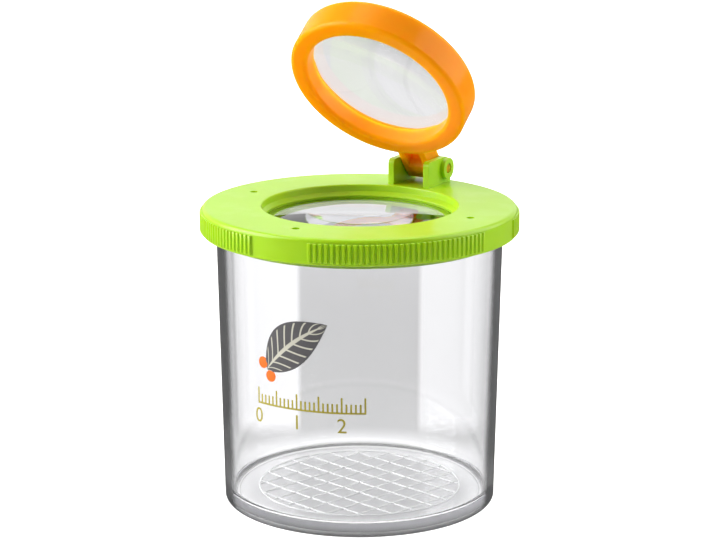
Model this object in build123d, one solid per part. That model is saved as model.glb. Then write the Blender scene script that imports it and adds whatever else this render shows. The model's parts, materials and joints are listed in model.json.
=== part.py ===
"""Bug catcher jar: a clear beaker under a green lid with a fixed lens and a second lens that flips up.

Millimetres, +Z up. The origin is the centre of the jar's foot, and the lid's hinge is at +Y.
The flip frame is drawn closed, about its own hinge axis, and then turned open to its rest angle.
"""

import os
from math import cos, radians, sin

from build123d import *

# Jar: a drafted beaker on a foot ring
jar_height = 64.6
jar_foot_radius = 30.1
jar_mouth_radius = 31.5
jar_wall = 1.8
jar_floor = 2.6
jar_floor_round = 1.6
jar_foot_round = 0.9
jar_lip_round = 0.5
foot_ring_width = 3.0
foot_recess = 0.7

# Measuring grid, raised on the jar's floor
grid_radius = 22.6
grid_pitch = 5.0
grid_line = 0.4
grid_height = 0.25
grid_turn = -15.5

# Lid: plate, skirt, and a plug that fits inside the jar's mouth
lid_plate = 1.8
lid_height = 5.7
skirt_wall = 1.9
skirt_gap = 1.15
rim_round = 0.9
edge_round = 0.35
plug_gap = 0.3
plug_wall = 1.0
plug_depth = 5.5

# Grip ribs, in panels round the rim with smooth stretches between them
rib_panels = 4
ribs_per_panel = 34
rib_pitch = 2.0
rib_height = 0.45
rib_root = 0.85
rib_crest = 0.5
rib_step = 0.08
rib_band_top = 0.95
rib_band_bottom = 0.5
rib_bed = 0.6

# Vents, on three of the smooth stretches
vent_diameter = 1.8
vent_inset = 1.2
vent_angles = (180, 270, 360)

# Lens well in the lid
well_gap = 0.85
well_wall = 1.5
lens_step = 0.5
lens_gap = 0.06
lens_depth = 3.0
seat_width = 1.8
seat_thickness = 1.2
bead_height = 0.3
bead_land = 0.3

# Lenses: flange thickness, and rise and inset of the curved faces
lens_flange = 1.3
lid_lens_rise = 2.0
flip_lens_rise = 1.0
lens_face_inset = 0.3

# Hinge ears, standing on the lid
hinge_inset = 4.05
hinge_height = 3.3
ear_gap = 7.5
ear_thickness = 1.45
ear_round = 2.6
ear_setback = 0.9
ear_front_round = 1.2
ear_boss = 1.0
ear_bed = 0.5

# Hinge pin
pin_diameter = 2.2
pin_running_gap = 0.05
pin_press_gap = 0.01
pin_recess = 0.15
pin_chamfer = 0.25

# Flip frame: ring, arm and knuckle
ring_radius = 20.65
ring_height = 7.5
ring_wall = 4.0
ring_round = 0.9
ring_drop = 1.8
lens_shelf = 1.5
lens_lift = 4.15
ring_flare = 0.3
knuckle_radius = 2.7
knuckle_gap = 0.3
arm_rest_gap = 0.35
arm_flare = 2.4
arm_bed = 2.0
arm_rib = 1.5
arm_pocket_depth = 2.2
arm_pocket_margin = 0.6
heel_gap = 0.15
heel_length = 2.3
heel_lead = 45
heel_waist = 1.5

# Flip angles from closed: at rest, and against the heel
rest_open = 52
full_open = 105

# Places that follow from the sizes above
lid_top = jar_height + lid_plate
lid_bottom = lid_top - lid_height
lid_radius = jar_mouth_radius + skirt_gap + skirt_wall
plug_radius = jar_mouth_radius - jar_wall - plug_gap
plug_bore = plug_radius - plug_wall
well_radius = ring_radius + well_gap
lens_bore = well_radius - lens_step
flange_top = lid_top - lens_depth
seat_top = flange_top - lens_flange
seat_bore = lens_bore - seat_width
hinge_reach = lid_radius - hinge_inset
hinge_axis_height = lid_top + hinge_height
ear_inner = ear_gap / 2
ear_outer = ear_inner + ear_thickness
pin_radius = pin_diameter / 2
ring_bore = ring_radius - ring_wall
flip_lens_bore = ring_bore + lens_shelf
knuckle_half = ear_inner - knuckle_gap


def jar_radius(height):
    """Outer radius of the jar's drafted wall at a height."""
    return jar_foot_radius + (jar_mouth_radius - jar_foot_radius) * height / jar_height


def turned(*corners):
    """Solid of revolution about Z, from corners given as (radius, height, rounding)."""
    points = [(radius, height) for radius, height, _ in corners]
    rounds = [rounding for _, _, rounding in corners]
    outline = FilletPolyline(*points, radius=rounds, close=True)
    return revolve(Plane.XZ * make_face(outline.edges()), Axis.Z)


def along_x(profile, half_width):
    """Solid from a (Y, Z) profile, spread evenly both ways along X."""
    return extrude(Plane.YZ * profile, half_width, both=True)


def grid_pattern():
    """Square lattice of lines inside a ring."""
    reach = int(grid_radius // grid_pitch)
    bar = Rectangle(2 * grid_radius, grid_line)
    lines = Sketch()
    for step in range(-reach, reach + 1):
        lines += Pos(0, step * grid_pitch) * bar
        lines += Pos(step * grid_pitch, 0) * Rot(Z=90) * bar
    disc = Circle(grid_radius)
    ring = disc - Circle(grid_radius - grid_line)
    return Rot(Z=grid_turn) * ((lines & disc) + ring)


def make_jar():
    """Beaker with drafted walls, a foot ring and the measuring grid on its floor."""
    foot_bore = jar_foot_radius - foot_ring_width
    beaker = turned(
        (0, foot_recess, 0),
        (foot_bore, foot_recess, 0),
        (foot_bore, 0, foot_recess / 3),
        (jar_foot_radius, 0, jar_foot_round),
        (jar_mouth_radius, jar_height, jar_lip_round),
        (jar_mouth_radius - jar_wall, jar_height, jar_lip_round),
        (jar_radius(jar_floor) - jar_wall, jar_floor, jar_floor_round),
        (0, jar_floor, 0),
    )
    grid = extrude(Pos(0, 0, jar_floor - grid_height) * grid_pattern(), 2 * grid_height)
    return beaker + grid


def rib_panel():
    """One panel of grip ribs, with its middle on +X."""
    root = lid_radius + rib_step
    crest = lid_radius + rib_height
    first = -rib_pitch * (ribs_per_panel - 1) / 2
    points = []
    for rib in range(ribs_per_panel):
        middle = radians(first + rib * rib_pitch)
        for radius, width in ((root, -rib_root), (crest, -rib_crest), (crest, rib_crest), (root, rib_root)):
            angle = middle + width / 2 / radius
            points.append((radius * cos(angle), radius * sin(angle)))
    bed_radius = lid_radius - rib_bed
    bed_angle = radians(first) - rib_root / 2 / root
    bed = [(bed_radius * cos(angle), bed_radius * sin(angle)) for angle in (-bed_angle, bed_angle)]
    ribs = Polyline(bed[1], *points, bed[0])
    back = ThreePointArc(bed[0], (bed_radius, 0), bed[1])
    band = lid_height - rib_band_top - rib_band_bottom
    return extrude(Pos(0, 0, lid_bottom + rib_band_bottom) * make_face([*ribs.edges(), back]), band)


def lid_shell():
    """Plate, skirt, plug and lens well of the lid as one turned shape."""
    skirt_bore = lid_radius - skirt_wall
    well_outer = well_radius + well_wall
    bead_bottom = flange_top + lens_gap
    bead_bore = lens_bore - bead_height
    bead_top = bead_bottom + bead_height + bead_land
    return turned(
        (well_radius, lid_top, edge_round),
        (lid_radius, lid_top, rim_round),
        (lid_radius, lid_bottom, edge_round),
        (skirt_bore, lid_bottom, edge_round),
        (skirt_bore, jar_height, 0),
        (plug_radius, jar_height, 0),
        (plug_radius, jar_height - plug_depth, edge_round),
        (plug_bore, jar_height - plug_depth, edge_round),
        (plug_bore, jar_height, edge_round),
        (well_outer, jar_height, edge_round),
        (well_outer, seat_top - seat_thickness, edge_round),
        (seat_bore, seat_top - seat_thickness, 0),
        (seat_bore, seat_top, 0),
        (lens_bore, seat_top, 0),
        (lens_bore, bead_bottom, 0),
        (bead_bore, bead_bottom + bead_height, 0),
        (bead_bore, bead_top, 0),
        (well_radius, bead_top + lens_step + bead_height, 0),
    )


def hinge_ear():
    """Ear on the +X side: upright plate, round behind the pin, with a boss on its outer face."""
    front = well_radius + ear_setback - hinge_reach
    foot = -hinge_height - ear_bed
    outline = FilletPolyline(
        (front, foot), (front, ear_round), (ear_round, ear_round), (ear_round, foot),
        radius=[0, ear_front_round, ear_round, 0], close=True,
    )
    plate = extrude(Plane.YZ.offset(ear_inner) * make_face(outline.edges()), ear_thickness)
    boss = extrude(Plane.YZ.offset(ear_inner) * Circle(ear_round), ear_thickness + ear_boss)
    hole = extrude(Plane.YZ * Circle(pin_radius + pin_running_gap), ear_outer + 2 * ear_boss)
    return plate + boss - hole


def make_lid():
    """Lid with its rib panels, vents and hinge ears."""
    lid = lid_shell()
    panel = rib_panel()
    for index in range(rib_panels):
        lid += Rot(Z=(index + 0.5) * 360 / rib_panels) * panel
    ear = Pos(0, hinge_reach, hinge_axis_height) * hinge_ear()
    lid += [ear, mirror(ear, Plane.YZ)]
    vent = Pos(plug_bore - vent_inset, 0, lid_top) * Cylinder(vent_diameter / 2, 4 * lid_plate)
    for angle in vent_angles:
        lid -= Rot(Z=angle) * vent
    return lid


def biconvex_lens(flange_radius, face_radius, rise):
    """Lens with a plain flange and two spherical faces, its flange centred on the origin."""
    half = lens_flange / 2
    section = [
        Line((0, -half - rise), (0, half + rise)),
        TangentArc((0, half + rise), (face_radius, half), tangent=(1, 0)),
        Line((face_radius, half), (flange_radius, half)),
        Line((flange_radius, half), (flange_radius, -half)),
        Line((flange_radius, -half), (face_radius, -half)),
        TangentArc((0, -half - rise), (face_radius, -half), tangent=(1, 0)),
    ]
    return revolve(Plane.XZ * make_face(section), Axis.Z)


def make_lid_lens():
    """Fixed lens, lying on the seat in the lid's well."""
    lens = biconvex_lens(lens_bore - lens_gap, seat_bore - lens_face_inset, lid_lens_rise)
    return Pos(0, 0, seat_top + lens_flange / 2) * lens


def in_flip_place(shape):
    """Turn a shape drawn closed about the hinge axis to its rest angle, and set it on the hinge."""
    return Pos(0, hinge_reach, hinge_axis_height) * Rot(X=-rest_open) * shape


def lens_ring():
    """Ring of the flip frame with its lens shelf and snap bead, centred on the ring's own axis."""
    half = ring_height / 2
    shelf = lens_lift - half
    bead_bottom = shelf + lens_flange + lens_gap
    bead_bore = flip_lens_bore - bead_height
    bead_top = bead_bottom + bead_height + bead_land
    return turned(
        (ring_bore, -half, ring_round),
        (ring_radius, -half, ring_round),
        (ring_radius, half, ring_round),
        (flip_lens_bore + ring_flare, half, edge_round),
        (bead_bore, bead_top, 0),
        (bead_bore, bead_bottom + bead_height, 0),
        (flip_lens_bore, bead_bottom, 0),
        (flip_lens_bore, shelf, 0),
        (ring_bore, shelf, 0),
    )


def arm_plan():
    """Plan of the arm, from the pin to inside the ring's wall, flared where it joins the ring."""
    ring = Pos(0, -hinge_reach) * Circle(ring_radius)
    bar_length = hinge_reach - ring_radius + arm_bed
    bar = Pos(0, -bar_length / 2) * Rectangle(2 * knuckle_half, bar_length)
    joined = ring + bar
    join_depth = (ring_radius**2 - knuckle_half**2) ** 0.5 - hinge_reach
    corners = [
        joined.vertices().sort_by_distance((side * knuckle_half, join_depth, 0))[0] for side in (-1, 1)
    ]
    flared = fillet(corners, arm_flare)
    keep = Pos(0, -bar_length / 2) * Rectangle(4 * knuckle_half, bar_length)
    return flared & keep


def heel_profile():
    """Heel behind the knuckle, in (Y, Z): its flat lies on the lid's plate when the frame is fully open."""
    reach = hinge_height - heel_gap
    stop = radians(full_open)
    lead = radians(full_open - heel_lead)
    down = Vector(sin(stop), -cos(stop))
    along = Vector(cos(stop), sin(stop))
    lead_in = Vector(sin(lead), -cos(lead)) * knuckle_radius
    crest = down * reach + along * heel_length
    waist = down * heel_waist + along * heel_length
    outline = Polyline((0, 0), lead_in, down * reach, crest, waist, close=True)
    return make_face(outline.edges())


def make_flip_frame():
    """Ring, arm and knuckle of the flip-up magnifier."""
    arm_bottom = arm_rest_gap - hinge_height
    arm_top = ring_height / 2 - ring_drop
    arm = extrude(Pos(0, 0, arm_bottom) * arm_plan(), arm_top - arm_bottom)
    knuckle = along_x(Circle(knuckle_radius), knuckle_half)
    heel = along_x(heel_profile(), knuckle_half)
    pocket_length = hinge_reach - ring_radius - knuckle_radius - arm_pocket_margin
    pocket_middle = -knuckle_radius - arm_pocket_margin - pocket_length / 2
    pocket = Pos(0, pocket_middle, arm_bottom) * Box(
        2 * (knuckle_half - arm_rib), pocket_length, 2 * arm_pocket_depth
    )
    ring = Pos(0, -hinge_reach, -ring_drop) * lens_ring()
    bore = along_x(Circle(pin_radius + pin_press_gap), 2 * knuckle_half)
    return in_flip_place(arm + knuckle + heel - pocket + ring - bore)


def make_flip_lens():
    """Lens of the flip frame, lying on the shelf in its ring."""
    lens = biconvex_lens(flip_lens_bore - lens_gap, ring_bore - lens_face_inset, flip_lens_rise)
    lift = lens_lift - ring_height / 2 + lens_flange / 2
    return in_flip_place(Pos(0, -hinge_reach, lift - ring_drop) * lens)


def make_hinge_pin():
    """Pin pressed into the knuckle, with chamfered ends that turn in the two ears."""
    length = 2 * (ear_outer + ear_boss - pin_recess)
    pin = Rot(Y=90) * Cylinder(pin_radius, length)
    pin = chamfer(pin.edges().filter_by(GeomType.CIRCLE), pin_chamfer)
    return in_flip_place(pin)


parts = {
    "jar": make_jar(),
    "lid": make_lid(),
    "lid_lens": make_lid_lens(),
    "flip_frame": make_flip_frame(),
    "flip_lens": make_flip_lens(),
    "hinge_pin": make_hinge_pin(),
}

os.makedirs("parts", exist_ok=True)
for node, shape in parts.items():
    export_step(shape, f"parts/{node}.step")
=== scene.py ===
import json
from math import atan2, cos, pi, radians, sin, tau

import bmesh
import bpy
import numpy as np
from bpy.props import FloatProperty, FloatVectorProperty, IntProperty, PointerProperty
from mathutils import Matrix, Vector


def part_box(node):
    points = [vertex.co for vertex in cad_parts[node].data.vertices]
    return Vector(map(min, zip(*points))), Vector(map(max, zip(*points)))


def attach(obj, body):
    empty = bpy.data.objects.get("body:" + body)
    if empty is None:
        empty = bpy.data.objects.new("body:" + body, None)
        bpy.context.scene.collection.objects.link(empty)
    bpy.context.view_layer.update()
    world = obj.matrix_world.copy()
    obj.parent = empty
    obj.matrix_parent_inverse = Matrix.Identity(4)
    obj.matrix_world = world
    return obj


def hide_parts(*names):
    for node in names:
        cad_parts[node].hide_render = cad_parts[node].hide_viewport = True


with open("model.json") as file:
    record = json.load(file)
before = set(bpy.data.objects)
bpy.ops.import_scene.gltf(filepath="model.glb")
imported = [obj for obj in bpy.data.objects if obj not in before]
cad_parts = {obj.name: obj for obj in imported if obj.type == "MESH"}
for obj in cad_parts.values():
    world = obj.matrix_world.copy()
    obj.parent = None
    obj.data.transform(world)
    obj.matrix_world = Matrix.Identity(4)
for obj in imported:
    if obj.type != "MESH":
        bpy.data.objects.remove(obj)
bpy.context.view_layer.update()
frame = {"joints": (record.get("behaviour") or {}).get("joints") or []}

bl_info = {
    "name": "Bug Catcher Jar",
    "version": (1, 0, 0),
    "blender": (4, 5, 0),
    "location": "View3D > Sidebar > Bug Jar",
    "description": "Clear collecting jar with a green magnifier lid and a lens that flips up",
    "category": "Add Mesh",
}

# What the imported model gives: its box, the jar's and the lid's far corners, and the hinge
JAR_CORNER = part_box("jar")[1]
LID_LOW, LID_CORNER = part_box("lid")
HINGE = next(joint for joint in frame["joints"] if joint["name"] == "flip_hinge")
HINGE_PLACE = HINGE["pos_m"]
REST_OPEN = radians(-HINGE["range_deg"][0])
FULL_OPEN = radians(HINGE["range_deg"][1]) + REST_OPEN

# How finely the surfaces are cut, in counts
TURNS = 256
PIN_TURNS = 96
VENT_TURNS = 48
DOT_TURNS = 40
CORNER_STEPS = 7
DOME_STEPS = 28
HEEL_STEPS = 24
ARM_STATIONS = 40
OUTLINE_POINTS = 176
RIB_COLUMNS = 10
RIB_END_ROWS = 5
LEAF_ROWS = 61
LEAF_COLUMNS = 25
BEVEL_SEGMENTS = 3

# Whether a grid's rows and its columns close on themselves
TUBE = (False, True)
RING = (True, True)
PANEL = (True, False)

# Distances used in closing meshes, in metres, and the sharpest edge that is shaded smooth
GUARD = 0.0001
MERGE = 0.000001
SMOOTH_UNDER = radians(32)

# Reach of the plug below the rim, in metres, and least opening of the arm's pocket, as a share
PLUG_BELOW_RIM = 0.0016
POCKET_LEAST = 0.02

# Print: the ruler's steps in metres, its figures, and the shape of the leaf and its veins
MILLIMETRE = 0.001
CENTIMETRE = 0.01
LONG_TICK_EVERY = 5
FIGURES = 3
LEAF_LEAN = 0.85
LEAF_FULLNESS = 0.9
VEINS = 8
VEIN_SLANT = 1.6
BERRY_SPREAD = 1.3

# Clear plastic: roughness of a polished face, how far a wall is turned where painted shade darkens it, and
# the heights between which the painted shade at the foot ends
POLISHED = 0.008
EDGE_ON = (0.6, 0.72)
FOOT_SHADE_ENDS = (0.0006, 0.0028)

# Floor: distances from the jar's axis, in metres, between which its glow changes, among them the painted
# ring of light round the foot
FAR = (0.1, 0.7)
BEYOND = (0.12, 0.35)
FOOT_STARTS = (0.0225, 0.0275)
FOOT_ENDS = (0.036, 0.052)

# Cards behind the jar: shares of their width and height over which their painted light comes and goes
CARD_STARTS = (0, 0.06)
CARD_ENDS = (0.6, 1)
CARD_RISES = (0, 0.08)

# Sky: dip of the direction behind the jar, and how nearly a reflection has to point there to be white
SKY_DIP = -0.3
SKY_BACK = (0.3, 0.95)

# Softboxes: bearing from the camera in degrees, distance, height and size in metres, and power in watts
LAMPS = (
    dict(name="left softbox", bearing=-90, distance=0.7, height=0.4, size=(0.7, 0.8), power=10.5),
    dict(name="right softbox", bearing=94, distance=0.7, height=0.4, size=(0.8, 0.8), power=5.5),
    dict(name="top softbox", bearing=170, distance=0.25, height=0.65, size=(0.6, 0.5), power=2.2),
)


def length(name, description, default):
    """A length in metres."""
    return FloatProperty(name=name, description=description, default=default, unit="LENGTH", precision=5)


def turn(name, description, degrees):
    """An angle, given in degrees and held in radians."""
    return FloatProperty(name=name, description=description, default=radians(degrees), subtype="ANGLE")


def colour(name, description, default):
    """An opaque colour in linear light."""
    return FloatVectorProperty(
        name=name, description=description, default=(*default, 1), subtype="COLOR", size=4, min=0, max=1
    )


def plain(name, description, default):
    """A bare number."""
    return FloatProperty(name=name, description=description, default=default)


class JarSettings(bpy.types.PropertyGroup):
    """Clear beaker and the measuring grid on its floor."""

    height: length("Height", "Foot to lip", JAR_CORNER.z)
    mouth_radius: length("Mouth radius", "Outside, at the lip", JAR_CORNER.x)
    foot_radius: length("Foot radius", "Outside, at the foot", 0.0301)
    wall: length("Wall", "Thickness of the side", 0.0018)
    floor: length("Floor", "Height of the floor's top", 0.0026)
    floor_round: length("Floor round", "Radius where the floor meets the wall", 0.0016)
    foot_round: length("Foot round", "Radius under the wall", 0.0009)
    lip_round: length("Lip round", "Radius of the lip's edges", 0.0005)
    ring_width: length("Foot ring width", "Width of the ring that it stands on", 0.003)
    recess: length("Recess", "Height of the hollow inside the foot ring", 0.0007)
    grid_radius: length("Grid radius", "Outside of the grid's ring", 0.0226)
    grid_pitch: length("Grid pitch", "Spacing of the grid's lines", 0.005)
    grid_line: length("Grid line", "Width of a line", 0.0004)
    grid_height: length("Grid height", "Height of a line over the floor", 0.00025)
    grid_turn: turn("Grid turn", "Turn of the grid about the jar's axis", -15.5)
    tint: colour("Tint", "Colour of the clear plastic", (0.98, 0.98, 0.985))
    density: plain("Density", "How fast the clear plastic takes up light", 450)
    # Strengths of the painted shade mixed into the outer wall where it turns edge on and round the foot
    edging: plain("Edging", "How dark the upright wall goes where it turns edge on", 0.8)
    foot_edging: plain("Foot edging", "How dark the foot goes", 0.8)
    frost: plain("Frost", "Roughness of the underside", 0.35)
    grid_tint: colour("Grid tint", "Colour of the frosted lines", (0.7, 0.7, 0.71))


class LidSettings(bpy.types.PropertyGroup):
    """Green lid: plate, ribbed rim, plug, lens well and hinge ears."""

    radius: length("Radius", "Smooth part of the rim", LID_CORNER.x)
    bottom: length("Bottom", "Height of the rim's lower edge", LID_LOW.z + PLUG_BELOW_RIM)
    plate: length("Plate", "Thickness over the jar's lip", 0.0018)
    skirt_wall: length("Skirt wall", "Thickness of the rim", 0.0019)
    rim_round: length("Rim round", "Radius of the rim's top edge", 0.0009)
    edge_round: length("Edge round", "Radius of the other edges", 0.00035)
    plug_gap: length("Plug gap", "Room between plug and jar", 0.0003)
    plug_wall: length("Plug wall", "Thickness of the plug", 0.001)
    plug_depth: length("Plug depth", "Reach of the plug into the jar", 0.0055)
    well_radius: length("Well radius", "Radius of the lens well", 0.0215)
    well_wall: length("Well wall", "Thickness of the well's wall", 0.0015)
    lens_step: length("Lens step", "Step from the well in to the lens", 0.0005)
    lens_depth: length("Lens depth", "From the lid's top to the lens flange", 0.003)
    seat_width: length("Seat width", "Width of the ledge under the lens", 0.0018)
    seat_thickness: length("Seat thickness", "Thickness of that ledge", 0.0012)
    bead: length("Bead", "Height of the snap bead over the lens", 0.0003)
    rib_panels: IntProperty(name="Rib panels", description="Panels of ribs round the rim", default=4)
    ribs: IntProperty(name="Ribs", description="Ribs in a panel", default=34)
    rib_pitch: turn("Rib pitch", "Angle from rib to rib", 2.0)
    rib_height: length("Rib height", "Height over the smooth rim", 0.00045)
    rib_root: length("Rib root", "Width at the root", 0.00085)
    rib_crest: length("Rib crest", "Width at the crest", 0.0005)
    rib_step: length("Rib step", "Height of a panel between its ribs", 0.00008)
    rib_top: length("Rib top", "From the lid's top down to the ribs", 0.00095)
    rib_bottom: length("Rib bottom", "From the rim's lower edge up to the ribs", 0.0005)
    rib_bed: length("Rib bed", "Depth of a panel's back in the rim", 0.0003)
    rib_end: length("Rib end", "Length over which a rib's ends fall", 0.00025)
    vents: IntProperty(name="Vents", description="Air holes, a quarter turn apart", default=3)
    vent_radius: length("Vent radius", "Radius of an air hole", 0.0009)
    vent_ring: length("Vent ring", "Distance of the air holes from the axis", 0.0272)
    ear_gap: length("Ear gap", "Room between the two ears", 0.0075)
    ear_thickness: length("Ear thickness", "Thickness of an ear", 0.00145)
    ear_round: length("Ear round", "Radius round the pin", 0.0026)
    ear_front: length("Ear front", "Reach of an ear in front of the pin", 0.0081)
    ear_front_round: length("Ear front round", "Radius of the front corner", 0.0012)
    ear_boss: length("Ear boss", "Height of the boss round the pin", 0.001)
    ear_bed: length("Ear bed", "Depth of an ear's foot in the plate", 0.0005)
    pin_hole: length("Pin hole", "Radius of the hole for the pin", 0.00115)
    edge_bevel: length("Edge bevel", "Rounding of an ear's edges", 0.00018)
    green: colour("Green", "Colour of the lid", (0.39, 0.68, 0.004))


class FlipSettings(bpy.types.PropertyGroup):
    """Orange frame of the flip-up lens, drawn closed about the hinge, and its pin."""

    ring_radius: length("Ring radius", "Outside of the ring", 0.02065)
    ring_height: length("Ring height", "Height of the ring", 0.0075)
    ring_wall: length("Ring wall", "From the outside in to the bore", 0.004)
    ring_round: length("Ring round", "Radius of the ring's edges", 0.0009)
    ring_drop: length("Ring drop", "Middle of the ring under the hinge", 0.0018)
    ring_flare: length("Ring flare", "Widening of the mouth over the lens", 0.0003)
    shelf: length("Shelf", "Width of the ledge under the lens", 0.0015)
    shelf_lift: length("Shelf lift", "Height of that ledge in the ring", 0.00415)
    bead: length("Bead", "Height of the snap bead over the lens", 0.0003)
    knuckle_radius: length("Knuckle radius", "Radius round the pin", 0.0027)
    knuckle_half: length("Knuckle half width", "Half the knuckle's width", 0.00345)
    arm_bottom: length("Arm bottom", "Underside of the arm under the hinge", 0.00295)
    arm_flare: length("Arm flare", "Widening of the arm at the ring", 0.0024)
    arm_lead: length("Arm lead", "Length over which its underside rises to the knuckle", 0.001)
    arm_bed: length("Arm bed", "Reach of the arm into the ring", 0.002)
    arm_rib: length("Arm rib", "Thickness of the walls beside the pocket", 0.0015)
    pocket_depth: length("Pocket depth", "Depth of the pocket under the arm", 0.0022)
    heel_reach: length("Heel reach", "From the pin to the heel's flat", 0.00315)
    heel_length: length("Heel length", "Length of the heel's flat", 0.0023)
    heel_waist: length("Heel waist", "From the pin to the heel's end", 0.0015)
    heel_lead: turn("Heel lead", "Angle over which the heel rises", 45)
    edge_bevel: length("Edge bevel", "Rounding of the frame's edges", 0.00022)
    pin_radius: length("Pin radius", "Radius of the pin", 0.0011)
    pin_half: length("Pin half length", "Half the pin's length", 0.00605)
    pin_chamfer: length("Pin chamfer", "Chamfer of the pin's ends", 0.00025)
    orange: colour("Orange", "Colour of the frame and pin", (1.0, 0.3, 0.0))


class LensSettings(bpy.types.PropertyGroup):
    """The two clear lenses."""

    flange: length("Flange", "Thickness at the edge", 0.0013)
    gap: length("Gap", "Room round a flange", 0.00006)
    inset: length("Face inset", "From the ledge's bore in to the curved face", 0.0003)
    lid_rise: length("Lid lens rise", "Rise of the lid lens's faces", 0.002)
    flip_rise: length("Flip lens rise", "Rise of the flip lens's faces", 0.001)
    edge: length("Edge", "Radius of a flange's edges", 0.00015)
    tint: colour("Tint", "Colour of the lens plastic", (0.985, 0.985, 0.99))
    density: plain("Density", "How fast the lens plastic takes up light", 300)


class PrintSettings(bpy.types.PropertyGroup):
    """Printed leaf and ruler on the jar's front."""

    leaf_length: length("Leaf length", "Base to tip", 0.0185)
    leaf_width: length("Leaf width", "Greatest width", 0.0095)
    leaf_bend: length("Leaf bend", "Rise of the leaf's bowed middle line", 0.0012)
    leaf_tilt: turn("Leaf tilt", "Turn of the leaf from level", 38)
    leaf_azimuth: turn("Leaf place", "Angle round the jar, from its front", 3.5)
    leaf_height: length("Leaf height", "Height of the leaf's middle", 0.0415)
    berry_radius: length("Berry radius", "Radius of a printed berry", 0.0013)
    ruler_length: length("Ruler length", "Length of the scale", 0.025)
    ruler_azimuth: turn("Ruler place", "Angle round the jar, from its front", 8.5)
    ruler_height: length("Ruler height", "Height of the scale's base line", 0.0282)
    line: length("Line", "Width of a printed line", 0.0004)
    short_tick: length("Short tick", "Length of a millimetre's tick", 0.0018)
    long_tick: length("Long tick", "Length of every fifth tick", 0.0032)
    digit: length("Digit", "Height of the figures", 0.0046)
    lift: length("Lift", "Back of the ink over the wall", 0.00002)
    ink: length("Ink", "Thickness of the ink", 0.00004)
    grey: colour("Grey", "Leaf", (0.105, 0.1, 0.105))
    pale: colour("Pale", "Leaf's veins", (0.62, 0.60, 0.5))
    olive: colour("Olive", "Ruler", (0.43, 0.36, 0.03))
    orange: colour("Orange", "Berries", (0.87, 0.17, 0.003))


class StageSettings(bpy.types.PropertyGroup):
    """Camera, floor and light."""

    azimuth: turn("Azimuth", "Camera's angle round the jar, from its front", 29.5)
    distance: length("Distance", "Camera to the jar's axis, level", 0.5207)
    height: length("Height", "Camera over the floor", 0.1796)
    aside: length("Aside", "Camera's step to its left", 0.00034)
    pitch: turn("Pitch", "Camera's tilt below level", 13.81)
    focal: plain("Focal length", "In millimetres on a 36 mm wide sensor", 122.35)
    floor_size: length("Floor size", "Side of the floor", 8.0)
    floor_white: plain("Floor", "Grey level of the floor", 0.8)
    # Painted shade: near the jar the floor is dimmed to these shares where it shows through clear plastic
    # and in gloss
    clear_floor: plain("Clear floor", "Share of the floor that shows through clear plastic", 0.6)
    gloss_floor: plain("Gloss floor", "Share of the floor that shows in gloss", 0.2)
    floor_lift: plain("Floor lift", "Light added to the floor where it is seen", 0.6)
    far_lift: plain("Far lift", "Light added as the floor goes away", 0.3)
    # Painted light: a ring of glow on the floor round the foot, which shows only through clear plastic
    foot_light: plain("Foot light", "Light round the foot that shows through clear plastic", 0.45)
    sky: plain("Sky", "Strength of the light from all round", 0.12)
    clear_sky: plain("Clear sky", "Share of the white sky that shows through clear plastic", 0.84)
    # Cards and flag light nothing: they are painted bright strips and a painted dim strip that show only
    # through clear plastic
    card_inner: length("Card inner edge", "From the jar's axis, across the view", 0.0145)
    card_outer: length("Card outer edge", "From the jar's axis, across the view", 0.044)
    card_depth: length("Card depth", "From the jar's axis, away from the camera", 0.04)
    left_light: plain("Left card light", "Strength of the left card's light", 1.2)
    right_light: plain("Right card light", "Strength of the right card's light", 1.08)
    flag_inner: length("Flag inner edge", "From the jar's axis, across the view", 0.036)
    flag_outer: length("Flag outer edge", "From the jar's axis, across the view", 0.085)
    flag_depth: length("Flag depth", "From the jar's axis, away from the camera", 0.038)
    flag_light: plain("Flag light", "Strength of the dim flag's light", 0.4)


class BugJarSettings(bpy.types.PropertyGroup):
    """All the settings, piece by piece."""

    jar: PointerProperty(type=JarSettings, name="Jar")
    lid: PointerProperty(type=LidSettings, name="Lid")
    flip: PointerProperty(type=FlipSettings, name="Flip frame")
    lens: PointerProperty(type=LensSettings, name="Lenses")
    art: PointerProperty(type=PrintSettings, name="Print")
    stage: PointerProperty(type=StageSettings, name="Stage")


# Outlines and surfaces


def unit(vectors):
    """Vectors scaled to a length of one."""
    return vectors / np.linalg.norm(vectors, axis=-1, keepdims=True)


def rounded(corners):
    """Closed outline through corners (u, v, radius), each turned into an arc.

    An arc's centre lies on the corner's bisector, radius / sin(half angle) from the corner, and its ends
    lie radius / tan(half angle) along the two sides. Two guard points stand just inside the ends of each
    straight side, so that smooth shading bends at the arcs alone.
    """
    corners = np.asarray(corners, float)
    points, radius = corners[:, :2], corners[:, 2:]
    back = unit(np.roll(points, 1, axis=0) - points)
    ahead = unit(np.roll(points, -1, axis=0) - points)
    half = np.arccos(np.clip((back * ahead).sum(axis=1, keepdims=True), -1, 1)) / 2
    centre = points + unit(back + ahead) * radius / np.sin(half)
    start = points + back * radius / np.tan(half)
    end = points + ahead * radius / np.tan(half)
    first = np.arctan2((start - centre)[:, 1:], (start - centre)[:, :1])
    last = np.arctan2((end - centre)[:, 1:], (end - centre)[:, :1])
    sweep = (last - first + pi) % tau - pi
    angle = first + sweep * np.linspace(0, 1, CORNER_STEPS)
    arcs = centre[:, None] + radius[:, None] * np.stack([np.cos(angle), np.sin(angle)], axis=-1)
    side = np.roll(start, -1, axis=0) - end
    span = np.maximum(np.linalg.norm(side, axis=1, keepdims=True), MERGE)
    guard = side * np.minimum(GUARD / span, 0.25)
    guards = np.stack([end + guard, end + side - guard], axis=1)
    return np.concatenate([arcs, guards], axis=1).reshape(-1, 2)


def on_axis(corners):
    """Open profile that starts and ends on the axis: the outline without the side along the axis."""
    return rounded(corners)[:-2]


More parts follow.
